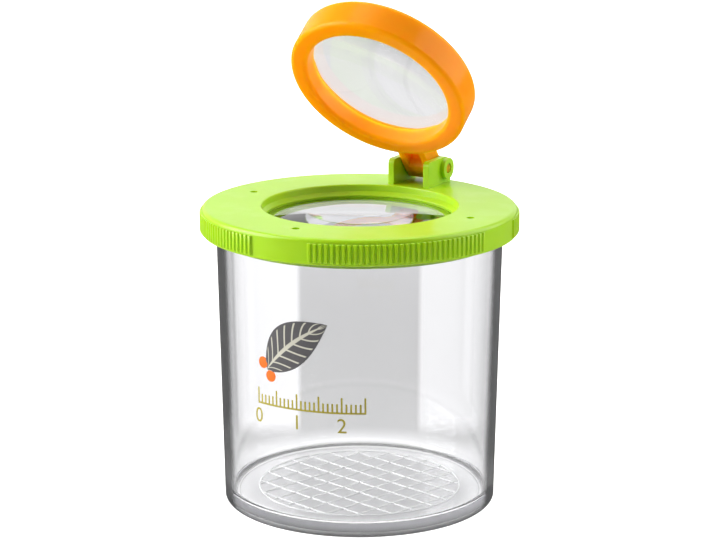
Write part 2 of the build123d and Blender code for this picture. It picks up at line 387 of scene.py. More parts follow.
def evenly(outline, count):
    """A closed outline's points, spread evenly along its length."""
    loop = np.concatenate([outline, outline[:1]])
    along = np.concatenate([[0], np.cumsum(np.linalg.norm(np.diff(loop, axis=0), axis=1))])
    places = np.linspace(0, along[-1], count, endpoint=False)
    return np.stack([np.interp(places, along, loop[:, 0]), np.interp(places, along, loop[:, 1])], axis=-1)


def turned(profile, turns=TURNS):
    """Surface of revolution about Z: (r, z) at angle a goes to (r cos a, r sin a, z)."""
    angle = np.linspace(0, tau, turns, endpoint=False)
    radius, height = profile[:, :1], profile[:, 1:]
    return np.stack(np.broadcast_arrays(radius * np.cos(angle), radius * np.sin(angle), height), axis=-1)


def capped(sections):
    """A row of closed sections with its ends drawn to the middles of the first and last."""
    first, last = sections[:1], sections[-1:]
    ends = [np.broadcast_to(end.mean(axis=1, keepdims=True), end.shape) for end in (first, last)]
    return np.concatenate([ends[0], sections, ends[1]])


def plate_rings(outline, rings):
    """Plate round the X axis from rings (x, radius), where no radius means the outline itself.

    A ring with a radius is a circle, with each point in the same direction as the outline's.
    """
    ways = unit(outline)
    loops = [outline if radius is None else ways * radius for _, radius in rings]
    across = [np.full((len(outline), 1), x) for x, _ in rings]
    return np.stack([np.concatenate(pair, axis=1) for pair in zip(across, loops)])


def turned_about_z(points, angle):
    """Points turned about Z."""
    x, y, z = np.moveaxis(points, -1, 0)
    return np.stack([x * cos(angle) - y * sin(angle), x * sin(angle) + y * cos(angle), z], axis=-1)


def in_flip_place(points):
    """Points drawn closed about the hinge, turned open about X by the rest angle and set on the hinge."""
    x, y, z = np.moveaxis(points, -1, 0)
    opened = [x, y * cos(REST_OPEN) + z * sin(REST_OPEN), z * cos(REST_OPEN) - y * sin(REST_OPEN)]
    return np.stack(opened, axis=-1) + np.array(HINGE_PLACE)


def quads(rows, columns, wrap_rows, wrap_columns):
    """Corner numbers of a grid's quads, joined end to end in each direction that wraps."""
    row = np.arange(rows if wrap_rows else rows - 1)[:, None]
    column = np.arange(columns if wrap_columns else columns - 1)
    row, below = row * columns, (row + 1) % rows * columns
    beside = (column + 1) % columns
    corners = [row + column, row + beside, below + beside, below + column]
    return np.stack(corners, axis=-1).reshape(-1, 4)


# Meshes and pieces


def close_mesh(mesh):
    """Merge the doubles at seams and poles, and turn all faces outwards."""
    work = bmesh.new()
    work.from_mesh(mesh)
    bmesh.ops.remove_doubles(work, verts=work.verts, dist=MERGE)
    bmesh.ops.recalc_face_normals(work, faces=work.faces)
    work.to_mesh(mesh)
    work.free()


def grid_mesh(name, grids):
    """Closed mesh from grids given as (points, wrap_rows, wrap_columns)."""
    points, faces, count = [], [], 0
    for grid, wrap_rows, wrap_columns in grids:
        faces.append(quads(*grid.shape[:2], wrap_rows, wrap_columns) + count)
        points.append(grid.reshape(-1, 3))
        count += points[-1].shape[0]
    mesh = bpy.data.meshes.new(name)
    mesh.from_pydata(np.concatenate(points), [], np.concatenate(faces))
    close_mesh(mesh)
    return mesh


def smooth(mesh):
    """Smooth shading, with edges over the limit left sharp."""
    mesh.shade_smooth()
    mesh.set_sharp_from_angle(angle=SMOOTH_UNDER)


def place(name, mesh, body, material, slot=None, stands_for=()):
    """Object at the origin that rides on a body and may stand for CAD nodes."""
    mesh.materials.clear()
    mesh.materials.append(material)
    smooth(mesh)
    piece = bpy.data.objects.new(name, mesh)
    bpy.context.scene.collection.objects.link(piece)
    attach(piece, body)
    if stands_for:
        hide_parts(*stands_for)
    return piece


def build(name, grids, *finish):
    """Piece made from grids, with its body, material and nodes; the slot it is given is not used."""
    return place(name, grid_mesh(name, grids), *finish)


def let_light_through(piece):
    """Cast no shadow, as clear plastic hardly does."""
    piece.visible_shadow = False


def soften(piece, width):
    """Round a piece's sharp edges with a live bevel."""
    bevel = piece.modifiers.new("Soft edges", "BEVEL")
    bevel.width = width
    bevel.segments = BEVEL_SEGMENTS
    bevel.limit_method = "ANGLE"
    bevel.angle_limit = SMOOTH_UNDER
    bevel.harden_normals = True


def drill(piece, cutter_mesh):
    """Cut a mesh out of a piece and keep the result as the piece's own mesh."""
    cutter = bpy.data.objects.new("drill", cutter_mesh)
    bpy.context.scene.collection.objects.link(cutter)
    cut = piece.modifiers.new("Drill", "BOOLEAN")
    cut.operation = "DIFFERENCE"
    cut.solver = "EXACT"
    cut.object = cutter
    shown = piece.evaluated_get(bpy.context.evaluated_depsgraph_get())
    drilled = bpy.data.meshes.new_from_object(shown)
    piece.modifiers.remove(cut)
    piece.data = drilled
    bpy.data.objects.remove(cutter)
    smooth(drilled)


# Materials


def both_ways(operation):
    """Methods for a sum with a Value first and with it second."""
    return (
        lambda value, other: value.maths(operation, value, other),
        lambda value, other: value.maths(operation, other, value),
    )


class Value:
    """A number in a shader tree: arithmetic on it adds Math nodes and gives another Value."""

    __add__, __radd__ = both_ways("ADD")
    __sub__, __rsub__ = both_ways("SUBTRACT")
    __mul__, __rmul__ = both_ways("MULTIPLY")

    def __init__(self, tree, socket):
        self.tree = tree
        self.socket = socket

    def maths(self, operation, first, second):
        """Math node on two numbers or Values."""
        node = self.tree.nodes.new("ShaderNodeMath")
        node.operation = operation
        for socket, value in zip(node.inputs, (first, second)):
            connect(self.tree, socket, value)
        return Value(self.tree, node.outputs[0])


def connect(tree, socket, value):
    """Link a Value to a socket, or set the socket to a plain value."""
    if isinstance(value, Value):
        tree.links.new(value.socket, socket)
    else:
        socket.default_value = value


class Nodes:
    """A shader tree being filled, for a material or the world."""

    def __init__(self, owner):
        owner.use_nodes = True
        self.owner = owner
        self.tree = owner.node_tree
        self.tree.nodes.clear()

    def add(self, kind, settings=None, sockets=None, output=0):
        """Add a node: its settings first, then the values or links of its sockets."""
        node = self.tree.nodes.new(kind)
        for key, value in (settings or {}).items():
            setattr(node, key, value)
        for key, value in (sockets or {}).items():
            connect(self.tree, node.inputs[key], value)
        return Value(self.tree, node.outputs[output] if node.outputs else None)

    def here(self):
        """Object coordinates."""
        return self.add("ShaderNodeTexCoord", output="Object")

    def part(self, vector, axis):
        """One coordinate of a vector."""
        return self.add("ShaderNodeSeparateXYZ", sockets={"Vector": vector}, output=axis)

    def reach(self, vector):
        """Length of a vector."""
        return self.add("ShaderNodeVectorMath", {"operation": "LENGTH"}, {0: vector}, output="Value")

    def noise(self, scale, detail=2.0, stretch=(1, 1, 1)):
        """Noise on Object coordinates, with scale in waves per metre."""
        stretched = self.add("ShaderNodeMapping", sockets={"Vector": self.here(), "Scale": stretch})
        sockets = {"Vector": stretched, "Scale": scale, "Detail": detail}
        return self.add("ShaderNodeTexNoise", sockets=sockets)

    def ramp(self, value, low, high, start=0.0, end=1.0):
        """Smooth step from start at low to end at high."""
        sockets = {"Value": value, "From Min": low, "From Max": high, "To Min": start, "To Max": end}
        return self.add("ShaderNodeMapRange", {"interpolation_type": "SMOOTHSTEP"}, sockets)

    def blend(self, factor, first, second):
        """Colour mixed from first to second."""
        return self.add("ShaderNodeMix", {"data_type": "RGBA"}, {0: factor, 6: first, 7: second}, output=2)

    def bump(self, height, strength, distance):
        """Normal from a height."""
        sockets = {"Height": height, "Strength": strength, "Distance": distance}
        return self.add("ShaderNodeBump", sockets=sockets)

    def rays(self):
        """Camera, gloss and clear rays: one for a ray of the kind and nothing for the others."""
        kinds = ("Is Camera Ray", "Is Glossy Ray", "Is Transmission Ray")
        return (self.add("ShaderNodeLightPath", output=kind) for kind in kinds)

    def plastic(self, sockets):
        """Principled shader."""
        return self.add("ShaderNodeBsdfPrincipled", sockets=sockets)

    def mixed(self, factor, first, second):
        """Shader mixed from first to second."""
        return self.add("ShaderNodeMixShader", sockets={0: factor, 1: first, 2: second})

    def surface(self, shader, depth=None):
        """End the tree in a surface shader and, for clear plastic, a shader for its depth."""
        sockets = {"Surface": shader} if depth is None else {"Surface": shader, "Volume": depth}
        self.add("ShaderNodeOutputMaterial", sockets=sockets)
        return self.owner


def new_material(name):
    """Empty tree of a new material."""
    return Nodes(bpy.data.materials.new(name))


def shade(tint, factor):
    """A colour made darker or lighter by a factor."""
    return (*(min(1.0, channel * factor) for channel in tint[:3]), 1)


def moulded_plastic(name, tint, gloss, skin, glow, depth):
    """Satin moulded plastic under a thin gloss skin: slow colour drift, fine grain, rubbed patches that are
    glossier, and light that strays through it to a depth."""
    nodes = new_material(name)
    drift = nodes.noise(scale=55, detail=3)
    rubbed = nodes.ramp(nodes.noise(scale=140, detail=4), low=0.45, high=0.7)
    scuffs = nodes.ramp(nodes.noise(scale=900, stretch=(1, 9, 4)), low=0.66, high=0.74)
    grain = nodes.noise(scale=2600)
    return nodes.surface(nodes.plastic({
        "Base Color": nodes.blend(drift, shade(tint, 0.93), shade(tint, 1.05)),
        "Roughness": 0.34 - 0.06 * rubbed + 0.07 * scuffs + 0.05 * grain,
        "IOR": 1.5,
        "Specular IOR Level": gloss,
        "Coat Weight": skin,
        "Coat Roughness": 0.12,
        "Subsurface Weight": glow,
        "Subsurface Radius": (1.0, 0.6, 0.1),
        "Subsurface Scale": depth,
        "Normal": nodes.bump(grain, strength=0.12, distance=0.00004),
    }))


def clear_shader(nodes, tint, roughness, ripple):
    """Clear plastic with a hint of haze in smears and hair scratches and a slow ripple from moulding."""
    smears = nodes.ramp(nodes.noise(scale=70, detail=4), low=0.5, high=0.75)
    scratches = nodes.ramp(nodes.noise(scale=700, stretch=(1, 1, 14)), low=0.7, high=0.76)
    return nodes.plastic({
        "Base Color": nodes.blend(smears, tuple(tint), shade(tint, 0.985)),
        "Roughness": roughness + 0.03 * smears + 0.03 * scratches,
        "IOR": 1.52,
        "Transmission Weight": 1.0,
        "Normal": nodes.bump(nodes.noise(scale=45, detail=1), ripple, distance=0.0002),
    })


def clear_depth(nodes, plastic):
    """Depth of clear plastic, which takes up a little light."""
    sockets = {"Color": tuple(plastic.tint), "Density": plastic.density}
    return nodes.add("ShaderNodeVolumeAbsorption", sockets=sockets)


def lens_plastic(name, lens):
    """Clear lens plastic, with hardly any colour in its depth."""
    nodes = new_material(name)
    return nodes.surface(clear_shader(nodes, lens.tint, POLISHED, ripple=0.0), clear_depth(nodes, lens))


def jar_plastic(name, jar):
    """Clear jar plastic, frosted underneath, with painted shade where its wall turns edge on and at the
    foot.

    Two darknesses e and f together make 1 - (1 - e)(1 - f).
    """
    nodes = new_material(name)
    here = nodes.here()
    height = nodes.part(here, "Z")
    frost = nodes.ramp(height, 1.2 * jar.recess, 2 * jar.recess, start=jar.frost, end=POLISHED)
    level = nodes.add("ShaderNodeVectorMath", {"operation": "MULTIPLY"}, {0: here, 1: (1, 1, 0)})
    taper = (jar.mouth_radius - jar.foot_radius) / jar.height
    middle, soft = jar.foot_radius - jar.wall / 2, jar.wall / 10
    outside = nodes.ramp(nodes.reach(level) - taper * height, middle - soft, middle + soft)
    # Painted shade: a near-black shader is mixed into the outer wall where it turns edge on and near the
    # foot, in place of the dark reflections inside the plastic
    facing = nodes.add("ShaderNodeLayerWeight", sockets={"Blend": 0.5}, output="Facing")
    edge = nodes.ramp(facing, *EDGE_ON, end=jar.edging)
    foot = nodes.ramp(height, *FOOT_SHADE_ENDS, start=jar.foot_edging, end=0)
    painted_shade = (1 - (1 - edge) * (1 - foot)) * outside
    # Near-black plastic that carries the painted shade
    dark = nodes.plastic({
        "Base Color": shade(jar.tint, 0.03),
        "Roughness": 0.5,
        "Specular IOR Level": 0.1,
    })
    clear = clear_shader(nodes, jar.tint, frost, ripple=0.03)
    return nodes.surface(nodes.mixed(painted_shade, clear, dark), clear_depth(nodes, jar))


def frosted_plastic(name, tint):
    """Frosted lines moulded in clear plastic, which scatter most of the light and let some through."""
    nodes = new_material(name)
    grain = nodes.noise(scale=3000)
    return nodes.surface(nodes.plastic({
        "Base Color": nodes.blend(grain, shade(tint, 0.9), shade(tint, 1.1)),
        "Roughness": 0.35 + 0.15 * grain,
        "Transmission Weight": 0.35,
        "Normal": nodes.bump(grain, strength=0.2, distance=0.00003),
    }))


def ink_film(nodes, cover, colours):
    """Printed ink: slightly uneven cover with a dull sheen."""
    return nodes.surface(nodes.plastic({
        "Base Color": colours,
        "Roughness": 0.42 + 0.12 * cover,
        "Normal": nodes.bump(cover, strength=0.1, distance=0.00002),
    }))


def ink(name, tint):
    """Ink of one colour."""
    nodes = new_material(name)
    cover = nodes.noise(scale=1500, detail=3)
    return ink_film(nodes, cover, nodes.blend(cover, shade(tint, 0.88), shade(tint, 1.1)))


def leaf_ink(name, grey, pale):
    """Grey ink with a pale midrib and side veins, drawn on the leaf's own map: u base to tip, v across."""
    nodes = new_material(name)
    leaf_map = nodes.add("ShaderNodeUVMap", {"uv_map": "Leaf"})
    along, across = nodes.part(leaf_map, "X"), nodes.part(leaf_map, "Y")
    aside = nodes.add("ShaderNodeMath", {"operation": "ABSOLUTE"}, {0: across * 2 - 1})
    slant = along * VEINS - aside * VEIN_SLANT
    wave = nodes.add("ShaderNodeMath", {"operation": "PINGPONG"}, {0: slant, 1: 0.5})
    inside = nodes.ramp(aside, low=0.86, high=0.92, start=1, end=0)
    veins = nodes.ramp(wave, low=0.07, high=0.12, start=1, end=0) * inside
    midrib = nodes.ramp(aside, low=0.07, high=0.11, start=1, end=0)
    lines = nodes.add("ShaderNodeMath", {"operation": "MAXIMUM"}, {0: veins, 1: midrib})
    cover = nodes.noise(scale=1500, detail=3)
    ground = nodes.blend(cover, shade(grey, 0.88), shade(grey, 1.15))
    return ink_film(nodes, cover, nodes.blend(lines, ground, tuple(pale)))


# The pieces


def jar_wall_radius(jar, height):
    """Outer radius of the drafted wall at a height, on a straight line from foot to lip."""
    return jar.foot_radius + (jar.mouth_radius - jar.foot_radius) * height / jar.height


def jar_profile(jar):
    """Beaker's profile from the axis under the floor, round the foot and lip, and back to the axis."""
    foot_bore = jar.foot_radius - jar.ring_width
    inner_foot = jar_wall_radius(jar, jar.floor) - jar.wall
    return on_axis([
        (0, jar.recess, 0),
        (foot_bore, jar.recess, jar.recess / 3),
        (foot_bore, 0, jar.recess / 3),
        (jar.foot_radius, 0, jar.foot_round),
        (jar.mouth_radius, jar.height, jar.lip_round),
        (jar.mouth_radius - jar.wall, jar.height, jar.lip_round),
        (inner_foot, jar.floor, jar.floor_round),
        (0, jar.floor, 0),
    ])


def grid_bars(jar):
    """Square lattice cut to the grid's circle: each bar is a rounded section carried along a chord."""
    reach = int(jar.grid_radius // jar.grid_pitch)
    half_line, top = jar.grid_line / 2, jar.grid_height
    section = rounded([
        (-half_line, -top / 10, 0),
        (half_line, -top / 10, 0),
        (half_line, top, top / 2),
        (-half_line, top, top / 2),
    ])
    middle = jar.grid_radius - half_line
    bars = []
    for step in range(-reach, reach + 1):
        offset = step * jar.grid_pitch
        chord = (middle**2 - offset**2) ** 0.5
        ends = np.array([-chord, chord])[:, None]
        along, beside, up = np.broadcast_arrays(ends, offset + section[:, 0], jar.floor + section[:, 1])
        bars += [np.stack([along, beside, up], axis=-1), np.stack([beside, along, up], axis=-1)]
    return [(turned_about_z(capped(bar), jar.grid_turn), *TUBE) for bar in bars]


def grid_ring(jar):
    """Ring round the lattice, turned from the same section as a bar."""
    inner = jar.grid_radius - jar.grid_line
    top = jar.floor + jar.grid_height
    low = jar.floor - jar.grid_height / 10
    return turned(rounded([
        (inner, low, 0),
        (jar.grid_radius, low, 0),
        (jar.grid_radius, top, jar.grid_height / 2),
        (inner, top, jar.grid_height / 2),
    ]))


def lid_profile(lid, jar, lens):
    """Lid's closed profile: plate, skirt, plug, lens well with its seat and snap bead."""
    top = jar.height + lid.plate
    skirt_bore = lid.radius - lid.skirt_wall
    plug_radius = jar.mouth_radius - jar.wall - lid.plug_gap
    plug_bore = plug_radius - lid.plug_wall
    plug_foot = jar.height - lid.plug_depth
    well_outer = lid.well_radius + lid.well_wall
    lens_bore = lid.well_radius - lid.lens_step
    flange_top = top - lid.lens_depth
    seat_top = flange_top - lens.flange
    seat_foot = seat_top - lid.seat_thickness
    seat_bore = lens_bore - lid.seat_width
    bead_bottom = flange_top + lens.gap
    bead_bore = lens_bore - lid.bead
    bead_top = bead_bottom + 2 * lid.bead
    fine = lid.bead / 3
    return rounded([
        (lid.well_radius, top, lid.edge_round),
        (lid.radius, top, lid.rim_round),
        (lid.radius, lid.bottom, lid.edge_round),
        (skirt_bore, lid.bottom, lid.edge_round),
        (skirt_bore, jar.height, fine),
        (plug_radius, jar.height, fine),
        (plug_radius, plug_foot, lid.edge_round),
        (plug_bore, plug_foot, lid.edge_round),
        (plug_bore, jar.height, lid.edge_round),
        (well_outer, jar.height, lid.edge_round),
        (well_outer, seat_foot, lid.edge_round),
        (seat_bore, seat_foot, fine),
        (seat_bore, seat_top, fine),
        (lens_bore, seat_top, 0),
        (lens_bore, bead_bottom, 0),
        (bead_bore, bead_bottom + lid.bead, fine),
        (bead_bore, bead_top, fine),
        (lid.well_radius, bead_top + lid.lens_step + lid.bead, fine),
    ])


def rib_panels(lid, jar):
    """Grip ribs as closed pillows let into the rim.

    Along the rim the height is a row of smooth trapezoids one pitch apart; up the rim it follows a quarter
    circle down to the bed at each end of the band. The first and last columns lie on the bed.
    """
    low = lid.bottom + lid.rib_bottom
    band = jar.height + lid.plate - lid.rib_top - low
    falling = np.linspace(0, lid.rib_end, RIB_END_ROWS)
    up = np.concatenate([falling, band - falling[::-1]])[:, None]
    to_end = np.minimum(np.minimum(up, band - up) / lid.rib_end, 1)
    swell = np.sqrt(1 - (1 - to_end) ** 2)
    span = lid.ribs * lid.rib_pitch
    along = np.linspace(0, span, lid.ribs * RIB_COLUMNS + 1)
    offset = ((along / lid.rib_pitch) % 1 - 0.5) * lid.rib_pitch * lid.radius
    slope = (lid.rib_root - lid.rib_crest) / 2
    raised = np.clip((lid.rib_root / 2 - np.abs(offset)) / slope, 0, 1)
    height = lid.rib_step + (lid.rib_height - lid.rib_step) * raised**2 * (3 - 2 * raised)
    along = np.concatenate([along[:1], along, along[-1:]])
    height = np.concatenate([[-lid.rib_bed], height, [-lid.rib_bed]])
    radius = lid.radius - lid.rib_bed + (lid.rib_bed + height) * swell
    panels = []
    for index in range(lid.rib_panels):
        angle = (index + 0.5) * tau / lid.rib_panels - span / 2 + along
        points = np.broadcast_arrays(radius * np.cos(angle), radius * np.sin(angle), low + up)
        panels.append((np.stack(points, axis=-1), *PANEL))
    return panels


def vent_drills(lid, jar):
    """Round rods through the lid's plate, on the smooth stretches away from the hinge."""
    low, high, radius = jar.height - lid.plate, jar.height + 2 * lid.plate, lid.vent_radius
    rod = turned(on_axis([(0, low, 0), (radius, low, 0), (radius, high, 0), (0, high, 0)]), VENT_TURNS)
    rod = rod + np.array([lid.vent_ring, 0, 0])
    return [(turned_about_z(rod, pi + step * pi / 2), *TUBE) for step in range(lid.vents)]


def ear_rings(lid):
    """One hinge ear about the pin: upright plate with a hole and a boss, then its mirror image."""
    foot = -(HINGE_PLACE[2] - JAR_CORNER.z - lid.plate) - lid.ear_bed
    outline = evenly(rounded([
        (-lid.ear_front, foot, 0),
        (-lid.ear_front, lid.ear_round, lid.ear_front_round),
        (lid.ear_round, lid.ear_round, lid.ear_round),
        (lid.ear_round, foot, 0),
    ]), OUTLINE_POINTS)
    inner, outer = lid.ear_gap / 2, lid.ear_gap / 2 + lid.ear_thickness
    boss = lid.ear_round - lid.edge_bevel
    ear = plate_rings(outline, [
        (inner, lid.pin_hole),
        (inner, None),
        (outer, None),
        (outer, boss),
        (outer + lid.ear_boss, boss),
        (outer + lid.ear_boss, lid.pin_hole),
    ])
    place_here = np.array(HINGE_PLACE)
    return [(ear * np.array([side, 1, 1]) + place_here, *RING) for side in (1, -1)]


def lens_profile(lens, flange_radius, face_radius, rise):
    """Lens profile, apex to apex: a flange between two spheres of radius (face^2 + rise^2) / (2 rise)."""
    half = lens.flange / 2
    sphere = (face_radius**2 + rise**2) / (2 * rise)
    out = face_radius * np.sin(np.linspace(0, pi / 2, DOME_STEPS))
    dome = np.stack([out, half + rise - sphere + np.sqrt(sphere**2 - out**2)], axis=-1)
    edge = rounded([
        (face_radius, half, 0),
        (flange_radius, half, lens.edge),
        (flange_radius, -half, lens.edge),
        (face_radius, -half, 0),
    ])[:-2]
    return np.concatenate([dome, edge, dome[::-1] * np.array([1, -1])])


def ring_profile(flip, lens):
    """Profile of the flip frame's ring about its own middle: bore, shelf, snap bead and flared mouth."""
    half = flip.ring_height / 2
    bore = flip.ring_radius - flip.ring_wall
    lens_bore = bore + flip.shelf
    shelf = flip.shelf_lift - half
    bead_bottom = shelf + lens.flange + lens.gap
    bead_bore = lens_bore - flip.bead
    fine = flip.bead / 3
    return rounded([
        (bore, -half, flip.ring_round),
        (flip.ring_radius, -half, flip.ring_round),
        (flip.ring_radius, half, flip.ring_round),
        (lens_bore + flip.ring_flare, half, fine),
        (bead_bore, bead_bottom + 2 * flip.bead, fine),
        (bead_bore, bead_bottom + flip.bead, fine),
        (lens_bore, bead_bottom, 0),
        (lens_bore, shelf, 0),
        (bore, shelf, fine),
    ])


def arm_sections(flip):
    """Arm from inside the ring to the pin, as sections carried along Y.

    The half width grows by a quarter circle of arm_flare where it meets the ring, and the pocket under the
    arm opens to its full depth between two smooth ends.
    """
    reach = HINGE_PLACE[1]
    start = -(reach - flip.ring_radius) - flip.arm_bed
    stations = np.linspace(start, 0, ARM_STATIONS)
    to_ring = np.clip((stations - start - flip.arm_bed) / flip.arm_flare, 0, 1)
    width = flip.knuckle_half + flip.arm_flare * (1 - np.sqrt(1 - (1 - to_ring) ** 2))
    top = flip.ring_height / 2 - flip.ring_drop
    to_pin = np.clip(1 + stations / flip.arm_lead, 0, 1)
    bottom = -flip.arm_bottom + (flip.arm_bottom - flip.knuckle_radius) * to_pin
    inside = np.minimum(stations - start - flip.arm_bed, -flip.knuckle_radius - stations) / flip.arm_rib
    opened = np.clip(inside, POCKET_LEAST, 1)
    depth = flip.pocket_depth * opened**2 * (3 - 2 * opened)
    soft = flip.edge_bevel
    sections = []
    for y, half, low, deep in zip(stations, width, bottom, depth):
        pocket = half - flip.arm_rib
        fillet = min(soft, deep / 3)
        outline = rounded([
            (-half, low, soft), (-pocket, low, fillet), (-pocket + deep / 8, low + deep, fillet),
            (pocket - deep / 8, low + deep, fillet), (pocket, low, fillet), (half, low, soft),
            (half, top, soft), (-half, top, soft),
        ])
        sections.append(np.insert(outline, 1, y, axis=1))
    return capped(np.array(sections))


def knuckle_outline(flip):
    """Knuckle and heel about the pin: at each angle the larger of the knuckle's circle and the heel."""
    stop, lead = FULL_OPEN, FULL_OPEN - flip.heel_lead
    down = np.array([sin(stop), -cos(stop)])
    along = np.array([cos(stop), sin(stop)])
    corners = np.array([
        np.array([sin(lead), -cos(lead)]) * flip.knuckle_radius,
        down * flip.heel_reach,
        down * flip.heel_reach + along * flip.heel_length,
        down * flip.heel_waist + along * flip.heel_length,
    ])
    legs = np.linspace(corners[:-1], corners[1:], HEEL_STEPS, axis=1).reshape(-1, 2)
    bearing = np.arctan2(legs[:, 1], legs[:, 0])
    angle = np.linspace(-pi, pi, OUTLINE_POINTS, endpoint=False)
    heel = np.interp(angle, bearing, np.linalg.norm(legs, axis=1), left=0, right=0)
    radius = np.maximum(heel, flip.knuckle_radius)
    return np.stack([radius * np.cos(angle), radius * np.sin(angle)], axis=-1)


def pin_surface(flip):
    """Pin turned about X with chamfered ends."""
    half, radius, cut = flip.pin_half, flip.pin_radius, flip.pin_chamfer
    pin = turned(on_axis([
        (0, -half, 0),
        (radius - cut, -half, cut / 4),
        (radius, cut - half, cut / 4),
        (radius, half - cut, cut / 4),
        (radius - cut, half, cut / 4),
        (0, half, 0),
    ]), PIN_TURNS)
    return pin[..., [2, 0, 1]]


def on_wall(jar, across, up, lift, azimuth, height):
    """Flat (across, up) laid on the jar's wall: across becomes an arc from the azimuth, up a height."""
    across, up, lift = np.broadcast_arrays(across, up, lift)
    z = height + up
    radius = jar_wall_radius(jar, z) + lift
    angle = azimuth + across / radius
    return np.stack([radius * np.sin(angle), -radius * np.cos(angle), z], axis=-1)


def leaf_body(t):
    """Leaf's width at t from base to tip, as a share of its greatest: sin(pi t^lean)^fullness."""
    return np.clip(np.sin(pi * t**LEAF_LEAN), 0, 1) ** LEAF_FULLNESS


def leaf_bow(art, t):
    """Rise of the leaf's middle line at t: a parabola."""
    return art.leaf_bend * (1 - (2 * t - 1) ** 2)


def leaf_surface(art, jar):
    """Leaf as a closed film of ink: at t along and s across, the bow plus s times half the width.

    The film's front runs from one edge to the other and its back returns.
    """
    t = np.linspace(0, 1, LEAF_ROWS)[:, None]
    s = np.linspace(-1, 1, LEAF_COLUMNS)
    s = np.concatenate([s, s[::-1]])
    front = np.repeat([1, 0], LEAF_COLUMNS)
    body = leaf_body(t)
    x = art.leaf_length * (t - 0.5)
    y = leaf_bow(art, t) + art.leaf_width / 2 * body * s
    across = x * cos(art.leaf_tilt) - y * sin(art.leaf_tilt)
    up = x * sin(art.leaf_tilt) + y * cos(art.leaf_tilt)
    lift = art.lift + art.ink * front * np.minimum(1, 4 * body)
    return on_wall(jar, across, up, lift, art.leaf_azimuth, art.leaf_height)


def vertex_places(mesh):
    """Places of a mesh's vertices as three arrays, x, y and z."""
    places = np.empty(len(mesh.vertices) * 3, np.float32)
    mesh.vertices.foreach_get("co", places)
    return places.reshape(-1, 3).T.astype(float)


def leaf_mesh(art, jar):
    """Leaf film with its map: u is the distance from the base, v the place across, both worked back from
    the vertices on the wall."""
    mesh = grid_mesh("leaf_print", [(leaf_surface(art, jar), *TUBE)])
    x, y, z = vertex_places(mesh)
    across = (np.arctan2(x, -y) - art.leaf_azimuth) * np.hypot(x, y)
    up = z - art.leaf_height
    along = across * cos(art.leaf_tilt) + up * sin(art.leaf_tilt)
    aside = up * cos(art.leaf_tilt) - across * sin(art.leaf_tilt)
    t = np.clip(along / art.leaf_length + 0.5, 0, 1)
    v = 0.5 + (aside - leaf_bow(art, t)) / np.maximum(art.leaf_width * leaf_body(t), GUARD)
    corners = np.empty(len(mesh.loops), np.int32)
    mesh.loops.foreach_get("vertex_index", corners)
    leaf_map = mesh.uv_layers.new(name="Leaf")
    leaf_map.data.foreach_set("uv", np.stack([t, v], axis=-1)[corners].astype(np.float32).ravel())
    return mesh


def berry_film(art, jar, across, up):
    """Closed round dot of ink: front out from the middle to the edge, then back under it."""
    out = np.array([0, 0.5, 0.9, 1, 0.9, 0.5, 0])[:, None] * art.berry_radius
    front = np.array([1, 1, 1, 0.5, 0, 0, 0])[:, None]
    angle = np.linspace(0, tau, DOT_TURNS, endpoint=False)
    across, up = across + out * np.cos(angle), up + out * np.sin(angle)
    return on_wall(jar, across, up, art.lift + art.ink * front, art.leaf_azimuth, art.leaf_height), *TUBE


def ruler_film(art, jar, left, right, low, high):
    """Closed strip of the ruler's ink between two places across and two heights, bent to the wall."""
    across = np.linspace(left, right, 2 + int((right - left) / MILLIMETRE))[:, None]
    up = np.array([low, high, high, low])
    lift = art.lift + np.array([0, 0, 1, 1]) * art.ink
    return capped(on_wall(jar, across, up, lift, art.ruler_azimuth, art.ruler_height)), *TUBE


def ruler_films(art, jar):
    """Scale of millimetres: a base line with a tick each millimetre, every fifth one long."""
    half, side = art.ruler_length / 2, art.line / 2
    films = [ruler_film(art, jar, -half - side, half + side, -art.line, 0)]
    for mark in range(round(art.ruler_length / MILLIMETRE) + 1):
        middle = mark * MILLIMETRE - half
        tick = art.short_tick if mark % LONG_TICK_EVERY else art.long_tick
        films.append(ruler_film(art, jar, middle - side, middle + side, 0, tick))
    return films


def figure_mesh(text, art, jar, across, up):
    """A figure's flat mesh, thickened and bent to the wall."""
    curve = bpy.data.curves.new("figure", "FONT")
    curve.body = text
    curve.size = art.digit
    curve.extrude = art.ink / 2
    curve.align_x = "CENTER"
    holder = bpy.data.objects.new("figure", curve)
    bpy.context.scene.collection.objects.link(holder)
    shown = holder.evaluated_get(bpy.context.evaluated_depsgraph_get())
    mesh = bpy.data.meshes.new_from_object(shown)
    bpy.data.objects.remove(holder)
    x, y, z = vertex_places(mesh)
    lift = art.lift + art.ink / 2 + z
    bent = on_wall(jar, x + across, y + up, lift, art.ruler_azimuth, art.ruler_height)
    mesh.vertices.foreach_set("co", bent.astype(np.float32).ravel())
    close_mesh(mesh)
    return mesh


# The stage


def view_axes(stage):
    """Level directions to the camera's right and away from it."""
    right = np.array([cos(stage.azimuth), sin(stage.azimuth), 0])
    away = np.array([-sin(stage.azimuth), cos(stage.azimuth), 0])
    return right, away


def stage_sheet(name, corners, material):
    """Flat stage piece from two rows of two corners."""
    mesh = bpy.data.meshes.new(name)
    mesh.from_pydata(corners.reshape(-1, 3), [], quads(2, 2, False, False))
    mesh.materials.append(material)
    sheet = bpy.data.objects.new(name, mesh)
    bpy.context.scene.collection.objects.link(sheet)
    return sheet


